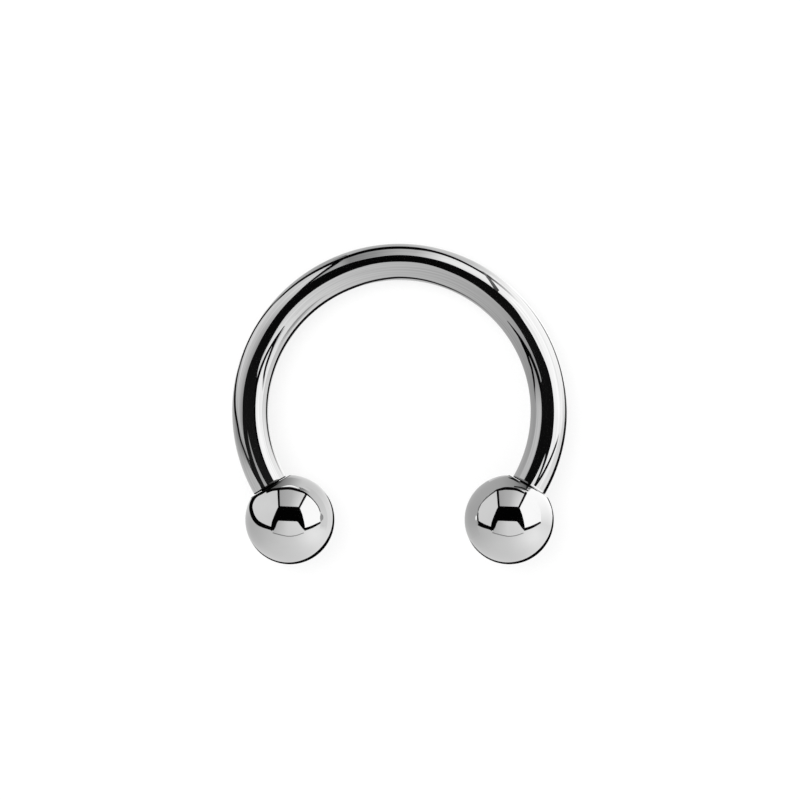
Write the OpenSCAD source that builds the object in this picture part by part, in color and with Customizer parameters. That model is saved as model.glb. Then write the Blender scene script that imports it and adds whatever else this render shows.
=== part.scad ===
// Horseshoe barbell: a bent bar with a ball screwed on each end, lying on its side.
// X runs from ball to ball, +Y points at the crown of the bend, and Z = 0 is what it lies on.

/* [Bar] */
// Diameter of the wire
wire_d = 1.63; // [1.5:0.01:1.9]
// Clear width inside the bend
inner_d = 11.75; // [9:0.05:16]
// Angle of each shoulder below the middle of the bend, in degrees
shoulder_drop = 30; // [15:1:35]
// Width of the small chamfer on each shoulder
edge_break = 0.06; // [0.03:0.01:0.1]

/* [Threaded posts] */
// Outer diameter of the thread
thread_d = 1.2; // [1.1:0.05:1.3]
// Distance from one thread crest to the next
thread_pitch = 0.25; // [0.2:0.05:0.3]
// Length of each post beyond its shoulder
post_l = 2.2; // [1.6:0.1:2.4]

/* [Balls] */
// Diameter of each ball
ball_d = 4; // [3.6:0.1:6]
// How far the ground flat shows around the wire
flat_margin = 0.18; // [0.05:0.01:0.25]

/* [Fits] */
// Gap between each shoulder and its ball
seat_gap = 0.02; // [0.01:0.01:0.05]
// Gap around each post in its hole
thread_gap = 0.03; // [0.02:0.01:0.08]

/* [Hidden] */
$fn = 96;

// A shape that is cut away starts this far outside the surface it cuts
past = 0.5;

// Bend: the arc runs from one shoulder over the crown to the other
wire_r = wire_d / 2;
bend_r = inner_d / 2 + wire_r;

// Thread: a 60 degree form, with a flat an eighth of the pitch wide on each crest
thread_depth = 0.6134 * thread_pitch;
crest_r = thread_d / 2;
core_r = crest_r - thread_depth;
crest_l = thread_pitch / 8;
relief_l = 0.1;
tip_l = thread_depth;
root_l = 0.3;
turns = floor((post_l - relief_l - tip_l) / thread_pitch);

// Ball: its flat stands seat_gap off the shoulder, and the hole is a little longer than the post
ball_r = ball_d / 2;
flat_r = wire_r + flat_margin;
flat_h = sqrt(ball_r * ball_r - flat_r * flat_r);
hole_r = crest_r + thread_gap;
hole_l = post_l + 0.1;
drill_tip_l = hole_r * tan(31);
ball_seat = seat_gap + flat_h;

// Lying pose: the crown of the bend and both balls touch Z = 0
ball_drop = bend_r * sin(shoulder_drop) + ball_seat * cos(shoulder_drop);
tilt = asin((ball_r - wire_r) / (bend_r + ball_drop));
bend_z = wire_r + bend_r * sin(tilt);
y_high = bend_r * cos(tilt) + wire_r;
y_low = -ball_drop * cos(tilt) - ball_r;

// Lays the upright shape down with the middle of its box over the origin
module lying() {
    translate([0, -(y_high + y_low) / 2, bend_z])
        rotate([-tilt, 0, 0])
            children();
}

// Puts a child on the middle of the right shoulder, with +Z running out of the wire
module at_right_end() {
    rotate([0, 0, -shoulder_drop])
        translate([bend_r, 0, 0])
            rotate([90, 0, 0])
                children();
}

// The same on the left shoulder
module at_left_end() {
    mirror([1, 0, 0])
        at_right_end()
            children();
}

// Half outline of a post: its root stands inside the wire, and each crest is a ring of its own
function post_outline() = concat(
    [
        [0, -root_l],
        [core_r, -root_l]
    ],
    [
        for (i = [0 : turns - 1])
            each [
                [core_r, relief_l + i * thread_pitch],
                [crest_r, relief_l + (i + 0.5) * thread_pitch - crest_l / 2],
                [crest_r, relief_l + (i + 0.5) * thread_pitch + crest_l / 2]
            ]
    ],
    [
        [core_r, relief_l + turns * thread_pitch],
        [core_r, post_l - tip_l / 2],
        [core_r - tip_l / 2, post_l],
        [0, post_l]
    ]
);

module threaded_post() {
    rotate_extrude()
        polygon(post_outline());
}

// What the chamfer takes off the rim of a shoulder
module shoulder_chamfer() {
    rotate_extrude()
        polygon([
            [wire_r - edge_break - past, past],
            [wire_r + past, -edge_break - past],
            [wire_r + past, past]
        ]);
}

module bent_wire() {
    difference() {
        rotate_extrude(angle = 180 + 2 * shoulder_drop, start = -shoulder_drop)
            translate([bend_r, 0])
                circle(d = wire_d);
        at_right_end()
            shoulder_chamfer();
        at_left_end()
            shoulder_chamfer();
    }
}

// The hole is drilled along the ball's own +Z side, which carries the ground flat
module drilled_ball() {
    difference() {
        sphere(d = ball_d);
        translate([-ball_r, -ball_r, flat_h])
            cube([ball_d, ball_d, ball_r]);
        translate([0, 0, flat_h - hole_l])
            cylinder(h = hole_l + past, r = hole_r);
        translate([0, 0, flat_h - hole_l - drill_tip_l])
            cylinder(h = drill_tip_l, r1 = 0, r2 = hole_r);
    }
}

// A ball turned round so that its flat faces the shoulder
module seated_ball() {
    translate([0, 0, ball_seat])
        rotate([180, 0, 0])
            drilled_ball();
}

module horseshoe_bar() {
    color("silver")
        lying()
            union() {
                bent_wire();
                at_right_end()
                    threaded_post();
                at_left_end()
                    threaded_post();
            }
}

module left_ball() {
    color("gainsboro")
        lying()
            at_left_end()
                seated_ball();
}

module right_ball() {
    color("gainsboro")
        lying()
            at_right_end()
                seated_ball();
}

horseshoe_bar();
left_ball();
right_ball();
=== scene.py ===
import math

import bmesh
import bpy
from mathutils import Matrix, Vector


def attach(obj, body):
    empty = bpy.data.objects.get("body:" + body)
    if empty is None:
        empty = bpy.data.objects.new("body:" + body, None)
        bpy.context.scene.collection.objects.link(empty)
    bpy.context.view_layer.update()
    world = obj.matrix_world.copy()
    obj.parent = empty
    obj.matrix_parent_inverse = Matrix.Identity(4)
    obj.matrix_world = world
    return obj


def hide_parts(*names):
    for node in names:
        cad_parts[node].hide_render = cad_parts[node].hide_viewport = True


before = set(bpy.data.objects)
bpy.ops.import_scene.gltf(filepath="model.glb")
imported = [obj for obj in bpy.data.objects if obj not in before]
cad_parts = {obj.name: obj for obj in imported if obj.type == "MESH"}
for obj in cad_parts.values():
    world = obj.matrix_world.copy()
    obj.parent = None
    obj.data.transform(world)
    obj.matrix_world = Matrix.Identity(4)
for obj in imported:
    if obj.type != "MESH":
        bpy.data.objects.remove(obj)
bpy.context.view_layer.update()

scene = bpy.context.scene
mm = 0.001
fullTurn = 2 * math.pi
tinyEdge = 0.0001 * mm        # shorter edges are dissolved
weldDistance = 0.0004 * mm    # closer points become one

# node types and settings that come up again and again
mathNode, rangeNode, mixNode = "ShaderNodeMath", "ShaderNodeMapRange", "ShaderNodeMix"
splitNode, joinNode, switchNode = "ShaderNodeSeparateXYZ", "ShaderNodeCombineXYZ", "GeometryNodeSwitch"
add, subtract, multiply, divide, multiplyAdd = (
    {"operation": word} for word in ("ADD", "SUBTRACT", "MULTIPLY", "DIVIDE", "MULTIPLY_ADD"))
sine, cosine, least, most, lessThan, greaterThan = (
    {"operation": word} for word in ("SINE", "COSINE", "MINIMUM", "MAXIMUM", "LESS_THAN", "GREATER_THAN"))
roundOff, absolute = {"operation": "ROUND"}, {"operation": "ABSOLUTE"}
ofNumbers, ofColours = {"input_type": "FLOAT"}, {"data_type": "RGBA"}


def toLinear(hexColour):
    # sRGB hex to the linear red, green, blue and alpha that a shader takes
    parts = [int(hexColour[i:i + 2], 16) / 255 for i in (0, 2, 4)]
    return tuple(p / 12.92 if p <= 0.04045 else ((p + 0.055) / 1.055) ** 2.4 for p in parts) + (1.0,)


def addNode(tree, kind, settings=None, links=None):
    # settings are the node's own options; links give a socket a value, another socket or a node
    node = tree.nodes.new(kind)
    for option, value in (settings or {}).items():
        setattr(node, option, value)
    for place, value in (links or {}).items():
        if isinstance(value, bpy.types.Node):
            value = value.outputs[0]
        if isinstance(value, bpy.types.NodeSocket):
            tree.links.new(value, node.inputs[place])
        else:
            node.inputs[place].default_value = value
    return node


# the inputs of the geometry trees, by kind of socket; lengths are in metres
treeInputs = {
    "Float": ("Bend Radius", "Wire Radius", "Edge Break", "Half Sweep", "Radius", "Flat Radius",
              "Mouth Radius", "Mouth Depth", "Root Radius", "Crest Radius", "Pitch", "Relief", "Length",
              "Point Length", "Weld"),
    "Int": ("Break Rows", "Segments", "Steps", "Rows Per Turn", "Turns"),
    "Vector": ("Left Place", "Right Place"),
    "Rotation": ("Left Turn", "Right Turn"),
    "Material": ("Material",),
}
wireInputs = ("Bend Radius", "Wire Radius", "Edge Break", "Half Sweep", "Break Rows", "Segments", "Steps")
threadInputs = ("Root Radius", "Crest Radius", "Pitch", "Relief", "Length", "Rows Per Turn", "Turns")
mouthInputs = ("Mouth Radius", "Mouth Depth", "Point Length", "Segments")


def newTree(name, titles):
    # a geometry tree with its named inputs, and the socket that takes its result
    tree = bpy.data.node_groups.new(name, "GeometryNodeTree")
    for kind, known in treeInputs.items():
        for title in known:
            if title in titles:
                tree.interface.new_socket(title, in_out="INPUT", socket_type="NodeSocket" + kind)
    tree.interface.new_socket("Geometry", in_out="OUTPUT", socket_type="NodeSocketGeometry")
    return tree, addNode(tree, "NodeGroupInput").outputs, addNode(tree, "NodeGroupOutput").inputs[0]


def treeValues(sizes):
    # a dictionary's sizes as tree inputs: "bendRadius" goes to "Bend Radius"; numbers with a point are
    # millimetres and become metres, and whole numbers are counts
    return {"".join(" " + c if c.isupper() else c for c in size).title():
            value * mm if isinstance(value, float) else value for size, value in sizes.items()}


def buildPiece(name, tree, inputs, place, sharpAngle):
    # runs the tree on an empty host, keeps the result as a plain closed mesh and lays it in the frame
    host = bpy.data.objects.new(name, bpy.data.meshes.new(name + "_host"))
    scene.collection.objects.link(host)
    modifier = host.modifiers.new("build", "NODES")
    modifier.node_group = tree
    for item in tree.interface.items_tree:
        if item.in_out == "INPUT":
            modifier[item.identifier] = inputs[item.name]
    graph = bpy.context.evaluated_depsgraph_get()
    mesh = bpy.data.meshes.new_from_object(host.evaluated_get(graph))
    host.modifiers.clear()
    host.data = mesh
    mesh.name = name
    work = bmesh.new()
    work.from_mesh(mesh)
    bmesh.ops.dissolve_degenerate(work, edges=work.edges, dist=tinyEdge)
    bmesh.ops.recalc_face_normals(work, faces=work.faces)
    work.to_mesh(mesh)
    openEdges = sum(not edge.is_manifold for edge in work.edges)
    work.free()
    mesh.transform(place)
    mesh.shade_smooth()
    mesh.set_sharp_from_angle(angle=math.radians(sharpAngle))
    print(name, "faces", len(mesh.polygons), "open edges", openEdges)
    return host


# sizes of the turned and bent bar, in millimetres
bar = {
    "wireRadius": 0.815,      # 14 gauge wire
    "bendRadius": 6.69,       # to the wire's centre line
    "shoulderDrop": 30,       # degrees that each end runs on past the half circle
    "edgeBreak": 0.06,
    "breakRows": 6,
    "crestRadius": 0.6,       # M1.2 post
    "pitch": 0.25,
    "relief": 0.1,
    "length": 2.2,            # of the post
    "segments": 96,
    "steps": 264,
    "rowsPerTurn": 16,
    "sharpAngle": 25,         # degrees between faces, from which an edge is drawn sharp
}
threadDepth = 0.6134          # of the pitch, as metric threads have
bar["rootRadius"] = bar["crestRadius"] - threadDepth * bar["pitch"]

# sizes of the balls, in millimetres
ball = {
    "radius": 2.0,
    "flatRadius": 0.995,      # ground flat that faces the wire
    "mouthRadius": 0.72,      # countersink of the tapped hole
    "mouthDepth": 0.07,
    "rootRadius": 0.63,       # drilled hole
    "crestRadius": 0.69,      # bottom of the tapped groove
    "pitch": bar["pitch"],
    "relief": 0.15,
    "length": 2.3,            # of the hole
    "pointLength": 0.38,      # cone left by the drill
    "seatGap": 0.02,
    "segments": 144,
    "steps": 110,
    "rowsPerTurn": 8,
    "sharpAngle": 20,
}

# where the bar lies: both balls and the crown of the bend rest on the floor
sweep = math.radians(90 + bar["shoulderDrop"])
flatHeight = math.sqrt(ball["radius"] ** 2 - ball["flatRadius"] ** 2)
ballSeat = ball["seatGap"] + flatHeight
ballDrop = (bar["bendRadius"] * math.sin(math.radians(bar["shoulderDrop"]))
            + ballSeat * math.cos(math.radians(bar["shoulderDrop"])))
tilt = math.asin((ball["radius"] - bar["wireRadius"]) / (bar["bendRadius"] + ballDrop))
yHigh = bar["bendRadius"] * math.cos(tilt) + bar["wireRadius"]
yLow = -ballDrop * math.cos(tilt) - ball["radius"]
ringHeight = ball["radius"] - ballDrop * math.sin(tilt)
barPlace = (Matrix.Translation(Vector((0, -(yHigh + yLow) / 2, ringHeight)) * mm)
            @ Matrix.Rotation(-tilt, 4, "X"))
ringCentre = barPlace.translation
ringAxes = barPlace.to_3x3()


def endPlace(side, along):
    # a place on the post's axis: side 1 is the right end, along is measured from the shoulder
    outward = Vector((side * math.sin(sweep), math.cos(sweep), 0))
    axis = Vector((side * math.cos(sweep), -math.sin(sweep), 0))
    turn = Matrix((outward, axis.cross(outward), axis)).transposed().to_4x4()
    return Matrix.Translation((outward * bar["bendRadius"] + axis * along) * mm) @ turn


def flatSheet(tree, segments, lastRow):
    # a flat sheet to roll up: around is a point's angle, and row counts from 0 to the last row
    columns = addNode(tree, mathNode, add, {0: segments, 1: 1})
    rows = addNode(tree, mathNode, add, {0: lastRow, 1: 1})
    sheet = addNode(tree, "GeometryNodeMeshGrid", None,
                    {"Size X": 1, "Size Y": 1, "Vertices X": columns, "Vertices Y": rows})
    spot = addNode(tree, splitNode, None, {0: addNode(tree, "GeometryNodeInputPosition")}).outputs
    half = 0.5                # the sheet is 1 wide and 1 high, about its middle
    around = addNode(tree, rangeNode, None, {0: spot[0], 1: -half, 2: half, 3: 0.0, 4: fullTurn})
    row = addNode(tree, rangeNode, None, {0: spot[1], 1: -half, 2: half, 3: 0.0, 4: lastRow})
    return sheet, around, row


def spunPoint(tree, radius, around, along):
    # a point at a radius and an angle round the axis, as on a lathe
    out = addNode(tree, mathNode, multiply, {0: radius, 1: addNode(tree, mathNode, cosine, {0: around})})
    up = addNode(tree, mathNode, multiply, {0: radius, 1: addNode(tree, mathNode, sine, {0: around})})
    return addNode(tree, joinNode, None, {0: out, 1: up, 2: along})


def shapedSheet(tree, sheet, straight, place):
    # moves the sheet's points to their place, and keeps where they lie on the straight piece
    marked = addNode(tree, "GeometryNodeStoreNamedAttribute", {"data_type": "FLOAT_VECTOR", "domain": "POINT"},
                     {"Geometry": sheet, "Name": "straight", "Value": straight})
    return addNode(tree, "GeometryNodeSetPosition", None, {"Geometry": marked, "Position": place})


guardWidth = 0.2              # of the edge break


def bentWireTree():
    # a sheet rolled into a round wire and bent to an arc, with a rounded edge at both ends
    tree, size, result = newTree("bentWire", wireInputs)
    sheet, around, row = flatSheet(tree, size["Segments"], size["Steps"])
    toLast = addNode(tree, mathNode, subtract, {0: size["Steps"], 1: row})
    fromEnd = addNode(tree, mathNode, least, {0: row, 1: toLast})
    side = addNode(tree, mathNode, {"operation": "SIGN"},
                   {0: addNode(tree, mathNode, subtract, {0: row, 1: toLast})})
    rounding = addNode(tree, rangeNode, None,
                       {0: fromEnd, 1: 0.0, 2: size["Break Rows"], 3: fullTurn / 4, 4: 0.0})
    breakAngle = addNode(tree, mathNode, divide, {0: size["Edge Break"], 1: size["Bend Radius"]})
    lastPlain = addNode(tree, mathNode, subtract, {0: size["Half Sweep"], 1: breakAngle})
    # one narrow row beside each rounded edge keeps the edge's shading off the long rows
    guardRow = addNode(tree, mathNode, add, {0: size["Break Rows"], 1: 1})
    plainRows = addNode(tree, mathNode, subtract, {0: size["Steps"], 1: guardRow})
    guardAngle = addNode(tree, mathNode, multiply, {0: breakAngle, 1: guardWidth})
    lastLong = addNode(tree, mathNode, subtract, {0: lastPlain, 1: guardAngle})
    firstLong = addNode(tree, mathNode, multiply, {0: lastLong, 1: -1})
    plainAngle = addNode(tree, rangeNode, None,
                         {0: row, 1: guardRow, 2: plainRows, 3: firstLong, 4: lastLong})
    guardShare = addNode(tree, rangeNode, None,
                         {0: fromEnd, 1: size["Break Rows"], 2: guardRow, 3: guardAngle, 4: 0.0})
    endShare = addNode(tree, mathNode, multiplyAdd,
                       {0: breakAngle, 1: addNode(tree, mathNode, sine, {0: rounding}), 2: guardShare})
    bendAngle = addNode(tree, mathNode, multiplyAdd, {0: side, 1: endShare, 2: plainAngle})
    core = addNode(tree, mathNode, subtract, {0: size["Wire Radius"], 1: size["Edge Break"]})
    radius = addNode(tree, mathNode, multiplyAdd,
                     {0: size["Edge Break"], 1: addNode(tree, mathNode, cosine, {0: rounding}), 2: core})
    along = addNode(tree, mathNode, multiply, {0: bendAngle, 1: size["Bend Radius"]})
    straight = spunPoint(tree, radius, around, along)
    across = addNode(tree, splitNode, None, {0: straight}).outputs
    fromCentre = addNode(tree, mathNode, add, {0: size["Bend Radius"], 1: across[0]})
    # the bend's middle lies on +Y, so the two sides of the spun point change places
    spun = addNode(tree, splitNode, None, {0: spunPoint(tree, fromCentre, bendAngle, across[1])}).outputs
    bent = addNode(tree, joinNode, None, {0: spun[1], 1: spun[0], 2: spun[2]})
    tree.links.new(shapedSheet(tree, sheet, straight, bent).outputs[0], result)
    return tree


# how the rows and flanks of a thread are laid out
thread = {
    "firstRow": 3,
    "plainRows": 4,           # three before the thread, for the mouth, and one at its end, for the point
    "crestEdge": 1 / 16,      # of the pitch, from the middle of the crest
    "rootEdge": 7 / 16,
    "runOut": 0.5,            # of the pitch, in which the thread reaches its full depth
}


def threadedEndTree():
    # the skin of a threaded post, or of a tapped hole: rows climb along the helix, so the crests are clean
    tree, size, result = newTree("threadedEnd", threadInputs + mouthInputs)
    threadRows = addNode(tree, mathNode, multiply, {0: size["Rows Per Turn"], 1: size["Turns"]})
    lastRow = addNode(tree, mathNode, add, {0: threadRows, 1: thread["plainRows"]})
    sheet, around, rowPlace = flatSheet(tree, size["Segments"], lastRow)
    row = addNode(tree, mathNode, roundOff, {0: rowPlace})
    turnShare = addNode(tree, mathNode, divide, {0: around, 1: fullTurn})
    threadRow = addNode(tree, mathNode, subtract, {0: row, 1: thread["firstRow"]})
    rowTurns = addNode(tree, mathNode, divide, {0: threadRow, 1: size["Rows Per Turn"]})
    climb = addNode(tree, mathNode, subtract, {
        0: addNode(tree, mathNode, add, {0: rowTurns, 1: turnShare}), 1: 1})
    unclipped = addNode(tree, mathNode, multiplyAdd, {0: climb, 1: size["Pitch"], 2: size["Relief"]})
    height = addNode(tree, mathNode, least, {
        0: addNode(tree, mathNode, most, {0: unclipped, 1: size["Relief"]}), 1: size["Length"]})
    turnPart = addNode(tree, mathNode, {"operation": "FLOORED_MODULO"}, {0: rowTurns, 1: 1})
    fromCrest = addNode(tree, mathNode, absolute, {  # the crest comes at half a turn
        0: addNode(tree, mathNode, subtract, {0: turnPart, 1: 0.5})})
    flank = addNode(tree, rangeNode, None,
                    {0: fromCrest, 1: thread["crestEdge"], 2: thread["rootEdge"], 3: 1.0, 4: 0.0})
    fullDepth = addNode(tree, mathNode, multiplyAdd,
                        {0: size["Pitch"], 1: thread["runOut"], 2: size["Relief"]})
    runOut = addNode(tree, rangeNode, None, {0: height, 1: size["Relief"], 2: fullDepth, 3: 0.0, 4: 1.0})
    depth = addNode(tree, mathNode, subtract, {0: size["Crest Radius"], 1: size["Root Radius"]})
    cut = addNode(tree, mathNode, multiply, {0: flank, 1: runOut})
    threadRadius = addNode(tree, mathNode, multiplyAdd, {0: depth, 1: cut, 2: size["Root Radius"]})
    fromTip = addNode(tree, mathNode, subtract, {0: size["Length"], 1: height})
    coneRadius = addNode(tree, mathNode, add, {0: fromTip, 1: size["Root Radius"]})
    cutRadius = addNode(tree, mathNode, least, {0: threadRadius, 1: coneRadius})
    # the mouth is row 0, the entry row 1 and the point the last row; a half stands between two rows
    isMouth = addNode(tree, mathNode, lessThan, {0: row, 1: 0.5})
    isEntry = addNode(tree, mathNode, lessThan, {0: row, 1: 1.5})
    isPoint = addNode(tree, mathNode, greaterThan, {
        0: row, 1: addNode(tree, mathNode, subtract, {0: lastRow, 1: 0.5})})
    mouthRadius = addNode(tree, switchNode, ofNumbers,
                          {"Switch": isMouth, "False": cutRadius, "True": size["Mouth Radius"]})
    radius = addNode(tree, switchNode, ofNumbers, {"Switch": isPoint, "False": mouthRadius, "True": 0.0})
    entryDepth = addNode(tree, mathNode, multiply, {0: row, 1: size["Mouth Depth"]})
    entryHeight = addNode(tree, switchNode, ofNumbers,
                          {"Switch": isEntry, "False": height, "True": entryDepth})
    pointHeight = addNode(tree, mathNode, add, {0: size["Length"], 1: size["Point Length"]})
    along = addNode(tree, switchNode, ofNumbers,
                    {"Switch": isPoint, "False": entryHeight, "True": pointHeight})
    wound = spunPoint(tree, radius, around, along)
    tree.links.new(shapedSheet(tree, sheet, wound, wound).outputs[0], result)
    return tree


def weldedEnd(tree, parts, size, result):
    # the skins become one closed piece with its material
    joined = addNode(tree, "GeometryNodeJoinGeometry")
    for part in parts:
        tree.links.new(part.outputs[0], joined.inputs[0])
    closed = addNode(tree, "GeometryNodeMergeByDistance", None, {"Geometry": joined, "Distance": size["Weld"]})
    real = addNode(tree, "GeometryNodeRealizeInstances", None, {"Geometry": closed})
    finished = addNode(tree, "GeometryNodeSetMaterial", None, {"Geometry": real, "Material": size["Material"]})
    tree.links.new(finished.outputs[0], result)


bentWire = bentWireTree()
threadedEnd = threadedEndTree()


def threadedBarTree():
    # the wire, with a threaded post at each end
    tree, size, result = newTree("threadedBar", wireInputs + threadInputs + (
        "Left Place", "Left Turn", "Right Place", "Right Turn", "Weld", "Material"))
    wire = addNode(tree, "GeometryNodeGroup", {"node_tree": bentWire}, {
        title: size[title] for title in wireInputs})
    shoulderRadius = addNode(tree, mathNode, subtract, {0: size["Wire Radius"], 1: size["Edge Break"]})
    post = addNode(tree, "GeometryNodeGroup", {"node_tree": threadedEnd}, {
        "Mouth Radius": shoulderRadius, "Mouth Depth": 0.0, "Point Length": 0.0,
        **{title: size[title] for title in threadInputs + ("Segments",)}})
    posts = [addNode(tree, "GeometryNodeTransform", None, {
        "Geometry": post, "Translation": size[side + " Place"], "Rotation": size[side + " Turn"]})
        for side in ("Left", "Right")]
    weldedEnd(tree, [wire] + posts, size, result)
    return tree


def drilledBallTree():
    # a ball turned from a half outline, ground flat on one side, with the tapped hole's skin set into the flat
    tree, size, result = newTree("drilledBall", threadInputs + mouthInputs + (
        "Radius", "Flat Radius", "Steps", "Weld", "Material"))
    sheet, around, rowPlace = flatSheet(tree, size["Segments"], size["Steps"])
    row = addNode(tree, mathNode, roundOff, {0: rowPlace})
    flatAngle = addNode(tree, mathNode, {"operation": "ARCSINE"}, {
        0: addNode(tree, mathNode, divide, {0: size["Flat Radius"], 1: size["Radius"]})})
    polar = addNode(tree, rangeNode, None, {0: row, 1: 1.0, 2: size["Steps"], 3: flatAngle, 4: math.pi})
    drop = addNode(tree, mathNode, subtract, {
        0: addNode(tree, mathNode, cosine, {0: flatAngle}), 1: addNode(tree, mathNode, cosine, {0: polar})})
    skinRadius = addNode(tree, mathNode, multiply, {
        0: size["Radius"], 1: addNode(tree, mathNode, sine, {0: polar})})
    skinHeight = addNode(tree, mathNode, multiply, {0: size["Radius"], 1: drop})
    isMouth = addNode(tree, mathNode, lessThan, {0: row, 1: 0.5})
    radius = addNode(tree, switchNode, ofNumbers,
                     {"Switch": isMouth, "False": skinRadius, "True": size["Mouth Radius"]})
    turned = spunPoint(tree, radius, around, skinHeight)
    hole = addNode(tree, "GeometryNodeGroup", {"node_tree": threadedEnd}, {
        title: size[title] for title in threadInputs + mouthInputs})
    weldedEnd(tree, [shapedSheet(tree, sheet, turned, turned), hole], size, result)
    return tree


# painted shade: the joints between the wire and the balls are painted dark and made duller, as the narrow
# groove there lies in shadow
paintedJointShade = {
    "steel": "1C1C1C",
    "dull": 0.4,
    "unshadedFrom": 0.05,        # millimetres from the post's axis outwards, where the painted shade is left off the right joint
    "unshadedTo": 0.25,
}
noiseLow, noiseHigh = 0.35, 0.7  # most of a noise texture lies between these


def bareSteel(name):
    # bright steel, for the nodes to vary
    material = bpy.data.materials.new(name)
    material.use_nodes = True
    shader = material.node_tree.nodes["Principled BSDF"]
    shader.inputs["Metallic"].default_value = 1.0
    return material, material.node_tree, shader.inputs


def variedSteel(tree, noise, look):
    # colour and gloss go from the look's first value to its second with the noise
    value = noise.outputs["Fac"]
    tone = addNode(tree, mixNode, ofColours, {
        0: value, 6: toLinear(look["steel"][0]), 7: toLinear(look["steel"][1])})
    gloss = addNode(tree, rangeNode, None, {
        0: value, 1: noiseLow, 2: noiseHigh, 3: look["roughness"][0], 4: look["roughness"][1]})
    return tone, gloss


def keptJointShade(tree, outward, sideways, rightFrom):
    # 1 where a joint keeps its painted shade, 0 on the outer half of the right one
    outer = addNode(tree, rangeNode, None,
                    {0: outward, 1: paintedJointShade["unshadedFrom"] * mm, 2: paintedJointShade["unshadedTo"] * mm})
    atRight = addNode(tree, mathNode, greaterThan, {0: sideways, 1: rightFrom})
    unshaded = addNode(tree, mathNode, multiply, {0: outer, 1: atRight})
    return addNode(tree, mathNode, subtract, {0: 1.0, 1: unshaded})


# 316L surgical steel, the wire buffed lengthwise before bending: mirror bright, with faint lines along it
buffed = {
    "steel": ("D6D6D6", "AEAEAE"),
    "roughness": (0.03, 0.07),
    "lineWidth": 0.05,        # millimetres; real buffing lines are finer, drawn as coarse as they show
    "lineLength": 5.0,
    "lineDepth": 0.00006,
    "jointWidth": 0.075,      # millimetres of the wire's end painted dark as shade
    "jointFull": 0.7,         # share of them that is fully dark; it thins out over the rest
    "threadSteel": "B4B4B4",  # the thread is left as the die cut it
    "threadDull": 0.18,
    "postMargin": 0.03,       # millimetres outside the crest that still count as the post
    "rootFade": (0.5, 1.5),   # the painted shade at the post's root thins out between these, in reliefs
}


def buffedSteelMaterial():
    material, tree, inputs = bareSteel("surgicalSteelBuffedWire")
    unbent = addNode(tree, "ShaderNodeAttribute", {"attribute_name": "straight"}).outputs["Vector"]
    fine, long = 1 / (buffed["lineWidth"] * mm), 1 / (buffed["lineLength"] * mm)
    stretched = addNode(tree, "ShaderNodeMapping", None, {"Vector": unbent, "Scale": (fine, fine, long)})
    lines = addNode(tree, "ShaderNodeTexNoise", None, {"Vector": stretched, "Scale": 1.0, "Detail": 2.0})
    tone, gloss = variedSteel(tree, lines, buffed)
    relief = addNode(tree, "ShaderNodeBump", None, {
        "Strength": 1.0, "Distance": buffed["lineDepth"] * mm, "Height": lines.outputs["Fac"]})
    along = addNode(tree, splitNode, None, {0: unbent}).outputs
    outward, lengthwise = along[0], along[2]
    wireEnd = sweep * bar["bendRadius"]
    jointWidth = buffed["jointWidth"]
    fromMiddle = addNode(tree, mathNode, absolute, {0: lengthwise})
    joint = addNode(tree, rangeNode, None, {
        0: fromMiddle, 1: (wireEnd - jointWidth) * mm, 2: (wireEnd - jointWidth * buffed["jointFull"]) * mm})
    shadeKept = keptJointShade(tree, outward, lengthwise, wireEnd / 2 * mm)
    acrossWire = addNode(tree, "ShaderNodeVectorMath", multiply, {0: unbent, 1: (1, 1, 0)})
    fromAxis = addNode(tree, "ShaderNodeVectorMath", {"operation": "LENGTH"}, {0: acrossWire})
    onPost = addNode(tree, mathNode, lessThan,
                     {0: fromAxis.outputs["Value"], 1: (bar["crestRadius"] + buffed["postMargin"]) * mm})
    low, high = (share * bar["relief"] * mm for share in buffed["rootFade"])
    root = addNode(tree, rangeNode, None, {0: lengthwise, 1: low, 2: high, 3: 1.0, 4: 0.0})
    postRoot = addNode(tree, mathNode, multiply, {0: root, 1: onPost})
    wireJoint = addNode(tree, mathNode, multiply, {0: joint, 1: shadeKept})
    # painted shade: the wire's end and the post's root are painted dark, as if in the joint's shadow
    paintedShade = addNode(tree, mathNode, most, {0: wireJoint, 1: postRoot})
    cut = addNode(tree, mixNode, ofColours, {0: onPost, 6: tone.outputs[2], 7: toLinear(buffed["threadSteel"])})
    colour = addNode(tree, mixNode, ofColours, {0: paintedShade, 6: cut.outputs[2], 7: toLinear(paintedJointShade["steel"])})
    cutGloss = addNode(tree, mathNode, multiplyAdd, {0: onPost, 1: buffed["threadDull"], 2: gloss})
    satin = addNode(tree, mathNode, most, {0: joint, 1: postRoot})
    dull = addNode(tree, mathNode, multiplyAdd, {0: satin, 1: paintedJointShade["dull"], 2: cutGloss})
    tree.links.new(colour.outputs[2], inputs["Base Color"])
    tree.links.new(dull.outputs[0], inputs["Roughness"])
    tree.links.new(relief.outputs[0], inputs["Normal"])
    return material


# the balls are tumbled with steel shot and buffed on all sides, so they have no direction, only faint haze
tumbled = {
    "steel": ("CACACA", "C2C2C2"),
    "roughness": (0.02, 0.045),
    "hazeSize": 0.9,          # millimetres
    "flatDepth": 0.02,        # millimetres; the flat is only ground, and is painted dark as shade
}


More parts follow.
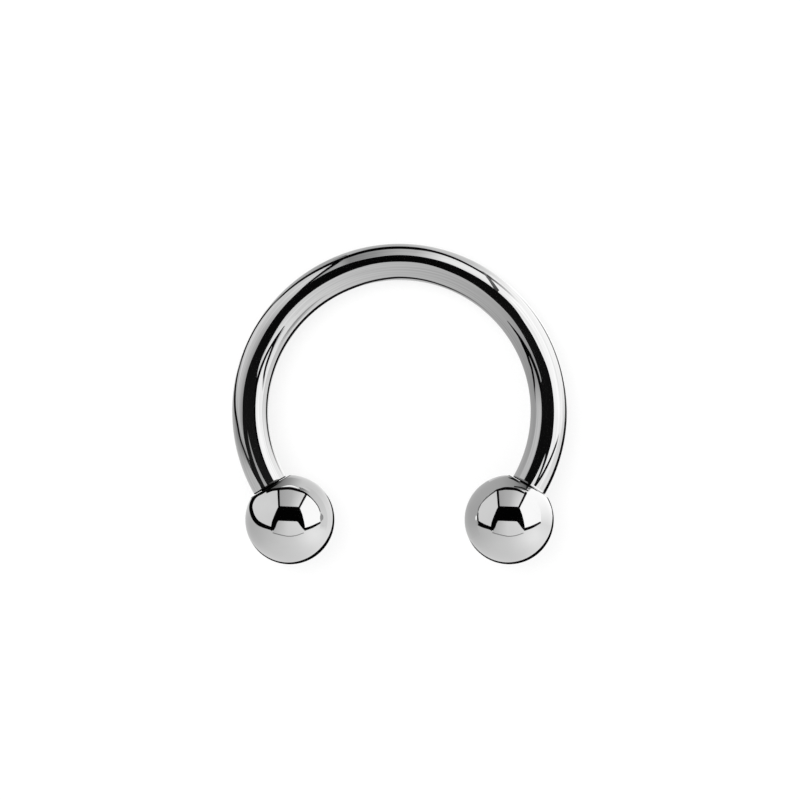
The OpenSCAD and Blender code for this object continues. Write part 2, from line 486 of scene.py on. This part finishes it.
def tumbledSteelMaterial():
    material, tree, inputs = bareSteel("surgicalSteelTumbledBall")
    place = addNode(tree, "ShaderNodeTexCoord").outputs["Object"]
    haze = addNode(tree, "ShaderNodeTexNoise", None, {
        "Vector": place, "Scale": 1 / (tumbled["hazeSize"] * mm), "Detail": 3.0})
    tone, gloss = variedSteel(tree, haze, tumbled)
    turned = addNode(tree, "ShaderNodeAttribute", {"attribute_name": "straight"})
    local = addNode(tree, splitNode, None, {0: turned.outputs["Vector"]}).outputs
    outward, height = local[0], local[2]
    ground = addNode(tree, rangeNode, None, {
        0: height, 1: tumbled["flatDepth"] * mm, 2: tumbled["flatDepth"] * mm * 2, 3: 1.0, 4: 0.0})
    sideways = addNode(tree, splitNode, None, {0: place}).outputs[0]
    shadeKept = keptJointShade(tree, outward, sideways, 0.0)
    # painted shade: the ball's flat is painted dark, as if in the joint's shadow
    paintedShade = addNode(tree, mathNode, multiply, {0: ground, 1: shadeKept})
    colour = addNode(tree, mixNode, ofColours, {0: paintedShade, 6: tone.outputs[2], 7: toLinear(paintedJointShade["steel"])})
    dull = addNode(tree, mathNode, multiplyAdd, {0: ground, 1: paintedJointShade["dull"], 2: gloss})
    tree.links.new(colour.outputs[2], inputs["Base Color"])
    tree.links.new(dull.outputs[0], inputs["Roughness"])
    return material


def turnsFor(sizes):
    # turns that fill the threaded length, and one more to start from
    return math.ceil((sizes["length"] - sizes["relief"]) / sizes["pitch"]) + 1


buffedSteel = buffedSteelMaterial()
tumbledSteel = tumbledSteelMaterial()

leftEnd, rightEnd = endPlace(-1, 0), endPlace(1, 0)
polishedBar = buildPiece("polished_bar", threadedBarTree(), {
    **treeValues(bar), "Half Sweep": sweep, "Turns": turnsFor(bar),
    "Left Place": leftEnd.translation, "Left Turn": leftEnd.to_euler(),
    "Right Place": rightEnd.translation, "Right Turn": rightEnd.to_euler(),
    "Weld": weldDistance, "Material": buffedSteel}, barPlace, bar["sharpAngle"])
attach(polishedBar, "bar")
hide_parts("horseshoe_bar")

drilledBall = drilledBallTree()
for side, body in ((-1, "left_ball"), (1, "right_ball")):
    piece = buildPiece("polished_" + body, drilledBall, {
        **treeValues(ball), "Turns": turnsFor(ball), "Weld": weldDistance,
        "Material": tumbledSteel}, barPlace @ endPlace(side, ball["seatGap"]), ball["sharpAngle"])
    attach(piece, body)
    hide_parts(body)
print("object built")

# the set: a pale floor, a pale surround, a light tent that only the polished steel sees, and glowing sheets
# just off the wire and balls that paint reflections on them
studio = {
    "surround": "FFFFFF",
    "floor": "F4F4F4",
    "floorRadius": 1.5,       # metres
    "floorDrop": 0.01,        # millimetres below the object
    "floorRoughness": 0.9,
    "floorGlow": 0.72,        # share of the floor's light that comes from below, as on a lit table
    "floorGain": 1.13,        # lifts the glow until the floor is as white as the surround
    "softboxSize": 0.25,      # metres
    "softboxPower": 0.6,      # watts
    "softboxPlace": (-0.12, 0.12, 0.35),
    "tentDistance": 1.0,      # metres
    "tentLayer": 0.01,        # share of the distance by which each layer stands in front of the last
    "wireReach": 0.2,         # millimetres from the wire to the sheets that paint its reflections
    "ballReach": 0.12,        # and from a ball to its own
    "sheetLayer": 0.05,        # as tentLayer, a share of the reach
    "steelShine": 0.60,       # what the steel sends back, so that a card's tone is the tone seen on a ball
}
rimLimit = 0.9995             # of a mirror ball's radius, as close to its rim as a card goes
wireRim = 0.998               # the same across the wire
leftTip, rightTip = 210.4, -30.4  # angles along the bend, just past its two ends


def mirrorDirection(x, y):
    # where a point on a mirror ball looks: x and y in ball radii, right and up as the camera sees it
    far = min(rimLimit, math.hypot(x, y))
    if far > 0:
        x, y = x / math.hypot(x, y) * far, y / math.hypot(x, y) * far
    z = math.sqrt(1 - far * far)
    return ringAxes @ Vector((2 * z * x, 2 * z * y, 2 * z * z - 1))


def smoothLine(points, count, curved):
    # count evenly spaced points on a line through the given ones, straight or as a smooth curve
    substeps = 24
    dense = []
    for i in range(len(points) - 1):
        a, b = Vector(points[i]), Vector(points[i + 1])
        before = Vector(points[i - 1]) if i else a * 2 - b
        after = Vector(points[i + 2]) if i + 2 < len(points) else b * 2 - a
        for k in range(substeps):
            t = k / substeps
            if curved:
                dense.append(0.5 * ((2 * a) + (b - before) * t + (2 * before - 5 * a + 4 * b - after) * t * t
                                    + (3 * a - before - 3 * b + after) * t ** 3))
            else:
                dense.append(a.lerp(b, t))
    dense.append(Vector(points[-1]))
    steps = [0.0]
    for a, b in zip(dense, dense[1:]):
        steps.append(steps[-1] + (b - a).length)
    line, at = [], 0
    for k in range(count):
        want = steps[-1] * k / (count - 1)
        while at < len(dense) - 2 and steps[at + 1] < want:
            at += 1
        span = steps[at + 1] - steps[at]
        line.append(dense[at].lerp(dense[at + 1], (want - steps[at]) / span if span else 0))
    return line


def glowMaterial():
    # glowing cloth, seen only from the side that faces the steel: the far tent, and the near sheets that paint
    # reflections on the steel
    material = bpy.data.materials.new("tentAndPaintedReflectionGlow")
    material.use_nodes = True
    tree = material.node_tree
    tree.nodes.clear()
    glow = addNode(tree, "ShaderNodeAttribute", {"attribute_name": "glow"})
    light = addNode(tree, "ShaderNodeEmission", None, {"Color": glow.outputs["Color"], "Strength": 1.0})
    facing = addNode(tree, "ShaderNodeNewGeometry")
    behind = addNode(tree, mathNode, subtract, {0: 1.0, 1: facing.outputs["Backfacing"]})
    solid = addNode(tree, mathNode, multiply, {0: behind, 1: glow.outputs["Alpha"]})
    clear = addNode(tree, "ShaderNodeBsdfTransparent")
    cloth = addNode(tree, "ShaderNodeMixShader", None, {0: solid, 1: clear, 2: light})
    addNode(tree, "ShaderNodeOutputMaterial", None, {"Surface": cloth})
    return material


glowSheets = glowMaterial()


def addCard(name, verts, faces, tones, looks):
    # looks are the directions in which the steel sees the card; the card's face is turned against them
    corners = faces[len(faces) // 2]
    first, second, third = (verts[c] for c in corners[:3])
    if (second - first).cross(third - first).dot(looks[corners[0]]) > 0:
        faces = [face[::-1] for face in faces]
    mesh = bpy.data.meshes.new(name)
    mesh.from_pydata([tuple(v) for v in verts], [], faces)
    mesh.materials.append(glowSheets)
    layer = mesh.color_attributes.new("glow", "FLOAT_COLOR", "POINT")
    for i, tone in enumerate(tones):
        layer.data[i].color = tone
    card = bpy.data.objects.new(name, mesh)
    scene.collection.objects.link(card)
    card.visible_camera = card.visible_diffuse = card.visible_shadow = card.visible_transmission = False


def tentSpot(x, y, layer):
    # far away, so every part sees it alike; x and y are those of a mirror ball
    look = mirrorDirection(x, y)
    return ringCentre + look * studio["tentDistance"] * (1 - studio["tentLayer"] * layer), look


def reflectionSheetSpot(centre, radius, x, y, reach, layer):
    # a painted reflection's place: close to one polished part, where the part's own point (x, y) sends it to
    # the camera
    foot = centre + Vector((x, y, math.sqrt(max(0, 1 - x * x - y * y)))) * radius
    look = mirrorDirection(x, y)
    return barPlace @ (foot * mm) + look * (reach * (1 - studio["sheetLayer"] * layer)) * mm, look


def wireSpot(turn, across, layer):
    # turn is the angle along the bend, across runs from its inner edge (-1) to its outer edge (1)
    x, y = math.cos(math.radians(turn)), math.sin(math.radians(turn))
    return reflectionSheetSpot(Vector((x, y, 0)) * bar["bendRadius"], bar["wireRadius"], x * across, y * across,
                    studio["wireReach"], layer)


def ballSpot(side):
    # gives the function for the spots close to one ball: side 1 is the right one
    centre = endPlace(side, ballSeat).translation / mm
    return lambda x, y, layer: reflectionSheetSpot(centre, ball["radius"], x, y, studio["ballReach"], layer)


leftBallSpot, rightBallSpot = ballSpot(-1), ballSpot(1)


def blend(values, share):
    # the value at a share of the way along a list of numbers or colours
    at = share * (len(values) - 1)
    low = min(int(at), len(values) - 2)
    if low < 0:
        return values[0]
    first, second = values[low], values[low + 1]
    if isinstance(first, float):
        return first + (second - first) * (at - low)
    return [f + (s - f) * (at - low) for f, s in zip(first, second)]


def loftCard(name, lower, upper, tones, layer, place=tentSpot, curved=True, count=60, rows=6, fade=(0.0, 0.0),
             sheer=False):
    # a card between two lines; its tones are greys, one pair of hex digits each, spread evenly along it;
    # fade thins out a share of each end, and a sheer card thins out from the lower line to the upper
    a, b = smoothLine(lower, count, curved), smoothLine(upper, count, curved)
    tones = [[c / studio["steelShine"] for c in toLinear(tone * 3)[:3]] for tone in tones]
    verts, looks, shades = [], [], []
    for k in range(rows):
        for i in range(count):
            p = a[i].lerp(b[i], k / (rows - 1))
            spot, look = place(p.x, p.y, layer)
            verts.append(spot)
            looks.append(look)
            share = i / (count - 1)
            solid = min(1, share / fade[0] if fade[0] else 1) * min(1, (1 - share) / fade[1] if fade[1] else 1)
            shades.append([*blend(tones, share), solid * (1 - k / (rows - 1)) if sheer else solid])
    faces = [(k * count + i, k * count + i + 1, (k + 1) * count + i + 1, (k + 1) * count + i)
             for k in range(rows - 1) for i in range(count - 1)]
    addCard(name, verts, faces, shades, looks)


def stripCard(name, points, widths, tones, layer, place=tentSpot, curved=True, count=90, fade=(0.0, 0.0)):
    # a narrow card along a line; widths are spread evenly along it
    line = smoothLine(points, count, curved)
    sides = [[], []]
    for i, p in enumerate(line):
        along = (line[min(i + 1, count - 1)] - line[max(i - 1, 0)]).normalized()
        across = Vector((-along.y, along.x)) * blend(widths, i / (count - 1)) / 2
        sides[0].append(tuple(p - across))
        sides[1].append(tuple(p + across))
    loftCard(name, sides[0], sides[1], tones, layer, place, False, count, 2, fade)


# the tent's cloth all round
tent = {
    "tone": 0.58,
    "rings": 90,
    "sectors": 120,
    "spots": (                # x, y and reach as on a mirror ball, and the change of tone there
        (-0.80, -0.30, 0.45, -0.12), (0.55, -0.35, 0.40, 0.22), (0.85, 0.25, 0.35, 0.10),
        (-0.95, 0.05, 0.30, -0.08), (-0.15, 0.90, 0.30, -0.16)),
}


def tentDome():
    rings, sectors = tent["rings"], tent["sectors"]
    verts, looks, tones, faces = [], [], [], []
    for i in range(rings + 1):
        far = math.sin(fullTurn / 4 * i / rings)
        for k in range(sectors):
            angle = fullTurn * k / sectors
            x, y = far * math.cos(angle), far * math.sin(angle)
            spot, look = tentSpot(x, y, 0)
            verts.append(spot)
            looks.append(look)
            tone = tent["tone"] + sum(change * math.exp(-((x - sx) ** 2 + (y - sy) ** 2) / reach ** 2)
                                      for sx, sy, reach, change in tent["spots"])
            tones.append([tone / studio["steelShine"]] * 3 + [1.0])
    for i in range(rings):
        for k in range(sectors):
            n = (k + 1) % sectors
            faces.append((i * sectors + k, i * sectors + n, (i + 1) * sectors + n, (i + 1) * sectors + k))
    addCard("tentDome", verts, faces, tones, looks)


def arc(radii, start, stop):
    # points round a mirror ball, with their radii spread evenly from one angle to the other
    count = len(radii)
    angles = [math.radians(start + (stop - start) * i / (count - 1)) for i in range(count)]
    return [(r * math.cos(a), r * math.sin(a)) for r, a in zip(radii, angles)]


# the far cloths: panels, the seams and openings between them, and the hood round the camera
tentDome()
leftEdge = [(-0.42, -0.19), (-0.59, -0.132), (-0.724, -0.058), (-0.8185, 0.063), (-0.875, 0.2245),
    (-0.866, 0.345), (-0.8, 0.48), (-0.684, 0.587), (-0.56, 0.68), (-0.42, 0.76), (-0.27, 0.8)]
loftCard("leftPanel", [(-0.41, -0.19), (-0.388, -0.05), (-0.338, 0.087), (-0.275, 0.237), (-0.238, 0.3),
    (-0.25, 0.5), (-0.27, 0.8)], leftEdge, ["CE", "D3", "CF"], 1)
loftCard("roofPanel", [(-0.238, 0.29), (0.212, 0.275)], [(-0.28, 0.8), (0.1, 0.79), (0.45, 0.68)],
    ["A0", "B4", "E2"], 1)
loftCard("rightPanel", [(0.33, -0.215), (0.315, -0.026), (0.278, 0.124), (0.212, 0.28), (0.45, 0.68)],
    [(0.7, -0.08), (0.76, 0.05), (0.75, 0.2), (0.68, 0.38), (0.45, 0.68)], ["FF"], 1)
tableLine = [(-0.378, -0.286), (-0.18, -0.338), (-0.012, -0.364), (0.15, -0.345), (0.315, -0.29)]
loftCard("lowerPanel", tableLine, [(-0.26, -0.01), (0.18, -0.025)], ["B4", "D2", "D8"], 1)
stripCard("tableEdge", tableLine, [0.02], ["74", "80", "90"], 2)
loftCard("cameraHood", [(-0.423, -0.2), (-0.398, -0.05), (-0.348, 0.087), (-0.285, 0.237), (-0.245, 0.31),
    (0.22, 0.295), (0.285, 0.124), (0.322, -0.026), (0.342, -0.139), (0.342, -0.215)], [(-0.36, -0.24),
    (-0.315, -0.17), (-0.285, -0.077), (-0.262, -0.035), (-0.245, -0.018), (0.16, -0.034), (0.185, -0.05),
    (0.228, -0.11), (0.278, -0.18), (0.325, -0.235)], ["02"], 4, curved=False, count=120)
stripCard("leftSeam", [(-0.2625, 0.7), (-0.237, 0.29)], [0.052, 0.046], ["04"], 3)
stripCard("rightSeam", [(0.39, 0.615), (0.21, 0.27)], [0.054, 0.044], ["10"], 3)
stripCard("leftOpening", [(-0.37, -0.225)] + leftEdge, [0.07, 0.1, 0.092, 0.085, 0.08, 0.04],
    ["03", "03", "03", "10"], 3)
stripCard("rightSkirt", [(0.325, -0.215), (0.5, -0.158), (0.7, -0.06)], [0.065, 0.058, 0.04], ["04"], 3)
shadeArc = (40, -150)
loftCard("floorShade", arc([0.99, 0.98, 0.97, 0.96, 0.95, 0.938, 0.932, 0.936, 0.943, 0.953, 0.961, 0.967,
    0.975, 0.985], *shadeArc), arc([rimLimit] * 14, *shadeArc), ["30", "04", "04", "04", "50"], 3,
    fade=(0.08, 0.08))

# painted reflections for the wire: glowing sheets just off it, seen only in its reflection; points are (angle
# along the bend, place across the wire)
bandUpper = [(leftTip, 0.49), (200, 0.45), (190, 0.45), (185, 0.43), (180, 0.41), (175, 0.42), (165, 0.415),
    (160, 0.38), (155, 0.355), (145, 0.345), (130, 0.37), (115, 0.37), (100, 0.355), (90, 0.37), (80, 0.35),
    (70, 0.325), (60, 0.275), (50, 0.285), (42, 0.27), (36, 0.205), (30, 0.18), (22, 0.21), (15, 0.26),
    (5, 0.275), (-5, 0.285), (-10, 0.305), (-17, 0.285), (-24, 0.265), (rightTip, 0.27)]
bandLower = [(leftTip, -0.29), (200, -0.245), (190, -0.225), (175, -0.23), (171, -0.235), (168, -0.19),
    (164, -0.12), (160, -0.1), (152, -0.13), (148, -0.12), (140, -0.075), (130, -0.07), (115, -0.06),
    (100, -0.005), (90, 0.0), (80, -0.01), (70, -0.085), (60, -0.13), (50, -0.19), (40, -0.205),
    (30, -0.235), (20, -0.245), (11.5, -0.245), (9.5, -0.39), (0, -0.4), (-17, -0.4), (rightTip, -0.395)]
loftCard("bandReflection", bandLower, bandUpper, ["1A", "0A", "04", "10", "0A"], 2, wireSpot, count=160, rows=7)
loftCard("bandTrim", [(51, 0.24), (42, 0.2), (-19, 0.2)], [(51, 0.35), (36, 0.4), (-19, 0.4)],
    ["F4", "FA", "FA"], 1, wireSpot, rows=3, fade=(0.05, 0.1))
loftCard("leftTongue", [(210.6, 0.1), (198, 0.155), (187, 0.19)],
    [(210.6, 0.26), (198, 0.24), (187, 0.215)], ["A8", "8C"], 3, wireSpot, rows=3, fade=(0.0, 0.2))
loftCard("rightTongue", [(-30.6, 0.04), (-24, 0.075), (-16, 0.12)],
    [(-30.6, 0.215), (-24, 0.2), (-16, 0.15)], ["E8", "D8"], 3, wireSpot, rows=3, fade=(0.0, 0.15))
loftCard("innerShade", [(150, -wireRim), (60, -wireRim), (rightTip, -wireRim)], [(150, -0.03), (120, 0.0),
    (100, 0.03), (90, 0.05), (75, 0.03), (60, -0.06), (40, -0.12), (10, -0.15), (rightTip, -0.3)],
    ["DC", "BE", "AC", "98", "A8"], 0, wireSpot, count=120, rows=16, fade=(0.14, 0.0))
loftCard("leftInnerLight", [(leftTip, -0.66), (185, -0.66), (165, -0.68), (138, -0.66)], [(leftTip, -0.32),
    (190, -0.31), (172, -0.29), (162, -0.2), (138, -0.15)], ["FC", "FC", "F0", "E4"], 0, wireSpot, rows=6,
    fade=(0.0, 0.3))
loftCard("leftInnerShade", [(leftTip, -wireRim), (138, -wireRim)], [(leftTip, -0.65), (165, -0.66),
    (138, -0.65)], ["F0", "E2", "D0", "C4"], 0, wireSpot, rows=8, fade=(0.0, 0.2))
stripCard("innerStreak", [(154, -0.655), (138, -0.665), (121, -0.655)], [0.03, 0.07, 0.04], ["8C"], 1,
    wireSpot, fade=(0.3, 0.3))
stripCard("leftForkUpper", [(173, -0.215), (168, -0.225), (164, -0.24), (160, -0.26), (156, -0.28),
    (152, -0.315), (148, -0.34), (143.5, -0.35)], [0.12, 0.12, 0.12, 0.1, 0.09, 0.04], ["04"], 2, wireSpot)
stripCard("leftForkLower", [(146, -0.36), (152, -0.4), (156, -0.44), (160, -0.465), (164, -0.5),
    (168, -0.565), (172, -0.61)], [0.06, 0.1, 0.11, 0.1, 0.06], ["04", "10", "20"], 2, wireSpot,
    fade=(0.0, 0.25))
loftCard("rightInnerGlow", [(13, -0.62), (6, -0.68), (rightTip, -0.68)], [(13, -0.42), (rightTip, -0.44)],
    ["B4", "C0", "BE"], 1, wireSpot, rows=4, fade=(0.25, 0.0))
loftCard("roofShade", [(112, 0.36), (88, 0.38)], [(112, 0.78), (100, 0.8), (88, 0.82)], ["80", "90", "A4"],
    0, wireSpot, rows=4, fade=(0.15, 0.45))
loftCard("leftUpperShade", [(199, 0.36), (160, 0.34), (128, 0.33)], [(199, 0.5), (190, 0.58), (175, 0.78),
    (128, 0.78)], ["60", "80", "9C", "A8"], 0, wireSpot, rows=8, fade=(0.12, 0.3), sheer=True)
leftOuter = [(202, 0.475), (195, 0.57), (190, 0.665), (185, 0.715), (180, 0.815), (175, 0.88), (170, 0.915),
    (165, 0.925), (158, 0.9)]
loftCard("leftShoulder", [(200, 0.49), (195, 0.47), (190, 0.53), (185, 0.6), (180, 0.65), (175, 0.72),
    (170, 0.78), (165, 0.82), (160, 0.85)], leftOuter[:-1] + [(160, 0.91)], ["8C", "9E", "B8", "BE", "C6"],
    0.5, wireSpot, fade=(0.08, 0.15))
loftCard("leftShoulderShade", leftOuter[:6], [(202, 0.97), (175, 0.97)], ["90", "74", "90"], 0.5, wireSpot,
    rows=8, fade=(0.3, 0.3), sheer=True)
stripCard("leftOuterLine", leftOuter, [0.09, 0.08, 0.09, 0.1, 0.12, 0.11, 0.09, 0.08, 0.05],
    ["20", "18", "04", "08", "20"], 1, wireSpot, fade=(0.1, 0.2))
loftCard("notchLight", [(84, 0.36), (64, 0.3), (44, 0.28)], [(84, 0.79), (64, 0.71), (44, 0.65)],
    ["DC", "F0", "F8"], 0, wireSpot, rows=3, fade=(0.25, 0.1))
stripCard("notch", [(59, 0.68), (56.5, 0.6), (54, 0.465), (52, 0.36), (50.5, 0.29)],
    [0.12, 0.14, 0.17, 0.2, 0.22], ["70", "60", "40"], 1, wireSpot)
loftCard("outerCover", [(141, 0.86), (108, 0.79)], [(141, 0.97), (108, 0.97)], ["BC", "A8", "A4"], 0.5,
    wireSpot, rows=3, fade=(0.2, 0.2))
stripCard("outerLine", [(141, 0.875), (135, 0.845), (128, 0.805), (122, 0.77), (118, 0.745), (112, 0.738),
    (108, 0.748), (100, 0.78), (90, 0.78), (80, 0.765), (70, 0.7), (62, 0.645), (54, 0.645), (42, 0.65)],
    [0.07, 0.11, 0.14, 0.15, 0.15, 0.14, 0.12, 0.08], ["0A", "04", "04", "08", "38"], 1, wireSpot,
    fade=(0.05, 0.15))
loftCard("outerWhite", [(64, 0.66), (46, 0.66), (30, 0.6), (-4, 0.62)], [(64, wireRim), (46, wireRim),
    (30, wireRim), (-4, wireRim)], ["F0", "FC", "FC", "F4"], 0, wireSpot, rows=12, fade=(0.25, 0.2))
loftCard("rightEndGlow", [(1, 0.29), (rightTip, 0.29)], [(1, 0.77), (-5, 0.75), (-16, 0.65),
    (rightTip, 0.57)], ["FA", "F4", "F0"], 0, wireSpot, rows=5, fade=(0.12, 0.0))
stripCard("rightEndLine", [(-7.5, 0.65), (-11, 0.595), (-16, 0.51), (-20, 0.44), (-25, 0.36),
    (rightTip, 0.25)], [0.05, 0.085, 0.1, 0.11, 0.12, 0.125], ["30", "14", "06"], 5, wireSpot,
    fade=(0.2, 0.0))
loftCard("rightEndLight", [(-29.0, 0.06), (-30.6, 0.02)], [(-29.0, 0.8), (-30.6, 0.82)], ["FF"], 4,
    wireSpot, rows=8, fade=(0.7, 0.0))
stripCard("outerThin", [(46, 0.93), (30, 0.93), (15, 0.93), (0, 0.93), (-15, 0.915), (rightTip, 0.895)],
    [0.03, 0.06, 0.085, 0.105, 0.12], ["A8", "80", "40", "0C", "08"], 1, wireSpot, fade=(0.2, 0.0))
stripCard("innerEdge", [(leftTip, -0.9), (190, -0.9), (175, -0.905), (160, -0.92), (145, -0.925),
    (115, -0.94), (103, -0.915), (95, -0.88), (90, -0.86), (80, -0.87), (70, -0.9), (55, -0.9),
    (42, -0.91)], [0.05, 0.07, 0.09, 0.12, 0.13, 0.12, 0.09, 0.07, 0.05], ["48", "06", "0C", "20", "58"], 1,
    wireSpot, fade=(0.1, 0.15))
stripCard("rightForkUpper", [(40, -0.49), (36, -0.49), (33, -0.475), (30, -0.465), (27, -0.45), (24, -0.42),
    (21, -0.405), (18, -0.39), (15, -0.37), (12, -0.36), (8, -0.34)],
    [0.03, 0.09, 0.13, 0.14, 0.14, 0.14, 0.14], ["04"], 2, wireSpot)
stripCard("rightForkLower", [(33, -0.49), (30, -0.505), (27, -0.525), (24, -0.54), (21, -0.575),
    (18, -0.58), (15, -0.615), (12, -0.65), (9, -0.695), (3, -0.735)],
    [0.06, 0.12, 0.12, 0.11, 0.1, 0.07, 0.05], ["04", "04", "0A", "20"], 2, wireSpot, fade=(0.0, 0.25))

# painted reflections for each ball: glowing sheets just off it, seen only in its reflection; points are (x, y)
# on the ball, in its radii
loftCard("leftCover", arc([0.7] * 8, 66, -17), arc([0.85] * 8, 66, -17), ["BE", "C8", "CE", "D0"], 0,
    leftBallSpot, rows=4, fade=(0.15, 0.1))
stripCard("leftTopLine", [(-0.52, 0.62), (-0.4, 0.672), (-0.28, 0.692), (-0.02, 0.712), (0.17, 0.676),
    (0.36, 0.6), (0.526, 0.46), (0.64, 0.31), (0.69, 0.19)], [0.05, 0.06, 0.06, 0.06, 0.058, 0.04, 0.02,
    0.018, 0.016], ["06", "06", "06", "30"], 2, leftBallSpot)
stripCard("leftJointLine", [(-0.8, 0.515), (-0.6, 0.63), (-0.42, 0.735), (-0.25, 0.83), (-0.13, 0.9)],
    [0.05, 0.08, 0.07, 0.05, 0.03], ["04", "04", "04", "30"], 3, leftBallSpot, fade=(0.1, 0.25))
stripCard("farBallReflection", [(0.708, 0.16), (0.722, 0.07), (0.708, -0.03)], [0.0, 0.07, 0.075, 0.0], ["90"], 3,
    leftBallSpot)
loftCard("leftTopShade", [(-0.5, 0.66), (-0.28, 0.71), (-0.02, 0.735), (0.2, 0.695)], [(-0.42, 0.8),
    (-0.25, 0.88), (0.0, 0.95), (0.3, 0.9)], ["38", "6A", "9A", "C4"], 1, leftBallSpot)
stripCard("leftSliver", [(-0.19, 0.742), (0.03, 0.765), (0.24, 0.705)], [0.0, 0.028, 0.028, 0.0], ["FA"], 3,
    leftBallSpot)
stripCard("rightTopLine", [(-0.3, 0.665), (-0.2, 0.69), (-0.077, 0.71), (0.142, 0.69), (0.31, 0.615),
    (0.37, 0.58)], [0.04, 0.06, 0.068, 0.062, 0.05, 0.03], ["06"], 2, rightBallSpot)
stripCard("rightJointLine", [(-0.05, 0.965), (0.13, 0.9), (0.28, 0.815)], [0.02, 0.05, 0.06], ["10"], 3,
    rightBallSpot, fade=(0.0, 0.3))
stripCard("rightSecondLine", [(0.1, 0.752), (0.28, 0.722), (0.42, 0.65)], [0.03], ["20"], 2, rightBallSpot)
loftCard("rightTopShade", [(-0.35, 0.66), (-0.1, 0.735), (0.1, 0.72), (0.36, 0.66)], [(-0.5, 0.83),
    (-0.2, 0.95), (0.1, 0.985), (0.4, 0.88)], ["A4", "A0", "90", "60"], 1, rightBallSpot)
loftCard("sideReflection", arc([0.735] * 7, 118, 207), arc([rimLimit] * 7, 118, 207),
    ["A4", "A6", "A2", "A6", "B4"], 0, rightBallSpot, rows=8)
stripCard("rightRingLine", [(-0.3, 0.665), (-0.46, 0.545), (-0.6, 0.41), (-0.69, 0.28), (-0.715, 0.15)],
    [0.03, 0.018, 0.014, 0.014], ["10", "40", "60", "80"], 2, rightBallSpot)
stripCard("spotShade", [(-0.705, 0.17), (-0.712, 0.03), (-0.69, -0.08)], [0.02, 0.03, 0.02], ["20"], 2,
    rightBallSpot)
stripCard("spotLight", [(-0.745, 0.1), (-0.75, 0.0)], [0.02, 0.035, 0.02], ["F8"], 3, rightBallSpot)
loftCard("sideLight", [(0.7, -0.1), (0.7, 0.05), (0.69, 0.2), (0.64, 0.35), (0.55, 0.48), (0.42, 0.6)],
    [(0.95, -0.12), (0.965, 0.1), (0.93, 0.3), (0.83, 0.5), (0.7, 0.66), (0.52, 0.78)],
    ["DC", "F4", "FF", "FF"], 0, rightBallSpot, rows=8)

# floor and surround
floorMesh = bpy.data.meshes.new("paleFloor")
work = bmesh.new()
bmesh.ops.create_circle(work, cap_ends=True, cap_tris=False, segments=96, radius=studio["floorRadius"])
bmesh.ops.translate(work, verts=work.verts, vec=(0, 0, -studio["floorDrop"] * mm))
work.to_mesh(floorMesh)
work.free()
floor = bpy.data.objects.new("paleFloor", floorMesh)
scene.collection.objects.link(floor)
floor.visible_glossy = False

floorFinish = bpy.data.materials.new("litAcrylicTable")
floorFinish.use_nodes = True
floorGlow, floorTone = studio["floorGlow"], toLinear(studio["floor"])
for title, value in {
        "Base Color": [c * (1 - floorGlow) for c in floorTone[:3]] + [1], "Roughness": studio["floorRoughness"],
        "Specular IOR Level": 0.0, "Emission Color": floorTone,
        "Emission Strength": floorGlow * studio["floorGain"]}.items():
    floorFinish.node_tree.nodes["Principled BSDF"].inputs[title].default_value = value
floorMesh.materials.append(floorFinish)

world = bpy.data.worlds.new("paleSurround")
world.use_nodes = True
background = world.node_tree.nodes["Background"].inputs
background["Color"].default_value = toLinear(studio["surround"])
background["Strength"].default_value = 1.0
scene.world = world

softbox = bpy.data.lights.new("softbox", "AREA")
softbox.shape = "DISK"
softbox.size = studio["softboxSize"]
softbox.energy = studio["softboxPower"]
softboxPlace = bpy.data.objects.new("softbox", softbox)
softboxPlace.location = studio["softboxPlace"]
softboxPlace.rotation_euler = (-Vector(studio["softboxPlace"])).to_track_quat("-Z", "Y").to_euler()
softboxPlace.visible_glossy = False
scene.collection.objects.link(softboxPlace)

# the photograph's view: square on to the bend
view = {
    "lens": 300,              # millimetres, so the view is nearly parallel
    "sensor": 36,
    "framing": 35.87,         # millimetres of the bend's plane across the picture
    "centre": (0.022, 0.502),  # where the picture's middle falls, from the bend's centre
    "clip": (0.01, 5),        # metres
}
cameraData = bpy.data.cameras.new("camera")
cameraData.lens = view["lens"]
cameraData.sensor_width = view["sensor"]
cameraData.clip_start, cameraData.clip_end = view["clip"]
camera = bpy.data.objects.new("camera", cameraData)
distance = view["lens"] / view["sensor"] * view["framing"] * mm
camera.matrix_world = (Matrix.Translation(ringCentre) @ ringAxes.to_4x4()
                       @ Matrix.Translation(Vector((*view["centre"], 0)) * mm + Vector((0, 0, distance))))
scene.collection.objects.link(camera)
scene.camera = camera
scene.view_settings.view_transform = "Standard"
print("studio built")
